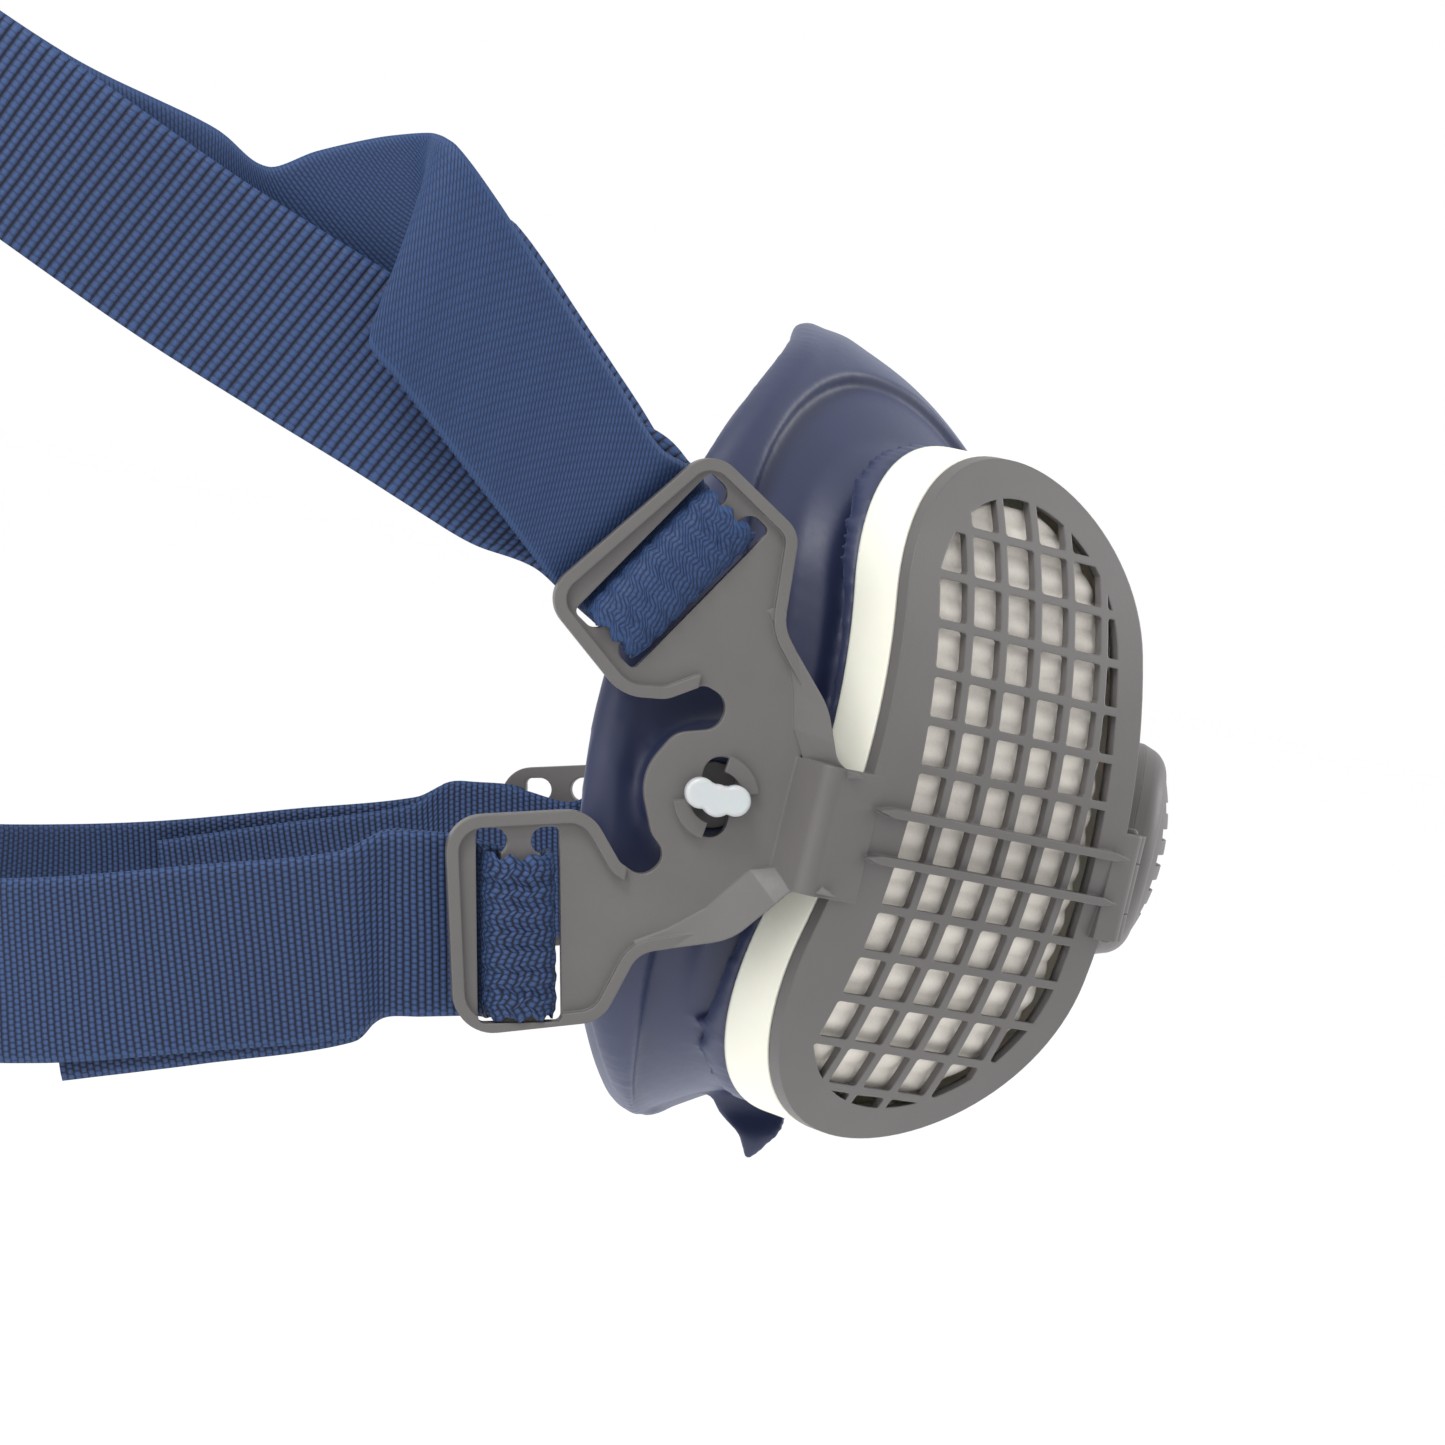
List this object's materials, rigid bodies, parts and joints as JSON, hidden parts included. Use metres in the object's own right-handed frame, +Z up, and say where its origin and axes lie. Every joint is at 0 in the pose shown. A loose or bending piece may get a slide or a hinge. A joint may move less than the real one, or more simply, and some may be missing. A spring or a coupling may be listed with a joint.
{
  "type": "half-mask respirator",
  "caption": "Reusable half-mask respirator: soft facepiece, hinged grille frames over flat oval particle filters, quarter-turn toggles, exhalation valve and elastic head and neck straps.",
  "frame": {"origin": "middle of the face seal, between the bridge of the nose and the chin, on the plane of symmetry", "axes": "+Z up along the filters' long axis, -Y the way the wearer looks, -X the wearer's right"},
  "size_m": [0.1688, 0.2531, 0.176],
  "materials": {
    "grey_plastic": "moulded, fine satin texture",
    "navy_elastomer": "soft moulded elastomer, matte",
    "cream_plastic": "moulded, satin",
    "filter_media": "pleated non-woven",
    "blue_webbing": "woven elastic",
    "white_nylon": "translucent white",
    "valve_rubber": "thin translucent silicone",
    "gasket_rubber": "black closed foam"
  },
  "bodies": {
    "root": {"facepiece": "navy_elastomer", "face_seal": "navy_elastomer", "exhalation_housing": "grey_plastic", "exhalation_cover": "grey_plastic", "head_strap_slider": "grey_plastic", "neck_clasp_loop": "grey_plastic", "neck_clasp_hook": "grey_plastic", "right_hinge_pin": "grey_plastic", "right_filter_case": "cream_plastic", "right_filter_media": "filter_media", "right_filter_gasket": "gasket_rubber", "right_inhalation_seat": "grey_plastic", "right_toggle_bush": "grey_plastic", "right_head_strap": "blue_webbing", "right_neck_strap": "blue_webbing", "left_hinge_pin": "grey_plastic", "left_filter_case": "cream_plastic", "left_filter_media": "filter_media", "left_filter_gasket": "gasket_rubber", "left_inhalation_seat": "grey_plastic", "left_toggle_bush": "grey_plastic", "left_head_strap": "blue_webbing", "left_neck_strap": "blue_webbing"},
    "exhalation_flap": {"exhalation_valve": "valve_rubber"},
    "right_frame": {"right_filter_frame": "grey_plastic"},
    "right_toggle_piece": {"right_toggle": "white_nylon"},
    "right_inhalation_flap": {"right_inhalation_valve": "valve_rubber"},
    "left_frame": {"left_filter_frame": "grey_plastic"},
    "left_toggle_piece": {"left_toggle": "white_nylon"},
    "left_inhalation_flap": {"left_inhalation_valve": "valve_rubber"}
  },
  "joints": [
    {"name": "right_frame_hinge", "type": "hinge", "parent": "root", "child": "right_frame", "pos_m": [-0.0276, -0.0604, -0.0085], "axis": [0, 0, 1], "range_deg": [0, 60], "deforming": ["right_head_strap", "right_neck_strap", "right_toggle"]},
    {"name": "right_toggle_turn", "type": "hinge", "parent": "root", "child": "right_toggle_piece", "pos_m": [-0.0703, -0.0014, -0.0075], "axis": [-0.9903, -0.1392, 0], "range_deg": [0, 90]},
    {"name": "right_inhalation_lift", "type": "slide", "parent": "root", "child": "right_inhalation_flap", "axis": [0.7431, 0.6691, 0], "range_m": [0, 0.0014], "stiffness_N_per_m": 2},
    {"name": "left_frame_hinge", "type": "hinge", "parent": "root", "child": "left_frame", "pos_m": [0.0276, -0.0604, -0.0085], "axis": [0, 0, -1], "range_deg": [0, 60], "deforming": ["left_head_strap", "left_neck_strap", "left_toggle"]},
    {"name": "left_toggle_turn", "type": "hinge", "parent": "root", "child": "left_toggle_piece", "pos_m": [0.0703, -0.0014, -0.0075], "axis": [0.9903, -0.1392, 0], "range_deg": [-90, 0]},
    {"name": "left_inhalation_lift", "type": "slide", "parent": "root", "child": "left_inhalation_flap", "axis": [-0.7431, 0.6691, 0], "range_m": [0, 0.0014], "stiffness_N_per_m": 2},
    {"name": "exhalation_lift", "type": "slide", "parent": "root", "child": "exhalation_flap", "axis": [0, -1, 0], "range_m": [0, 0.0018], "stiffness_N_per_m": 2}
  ]
}
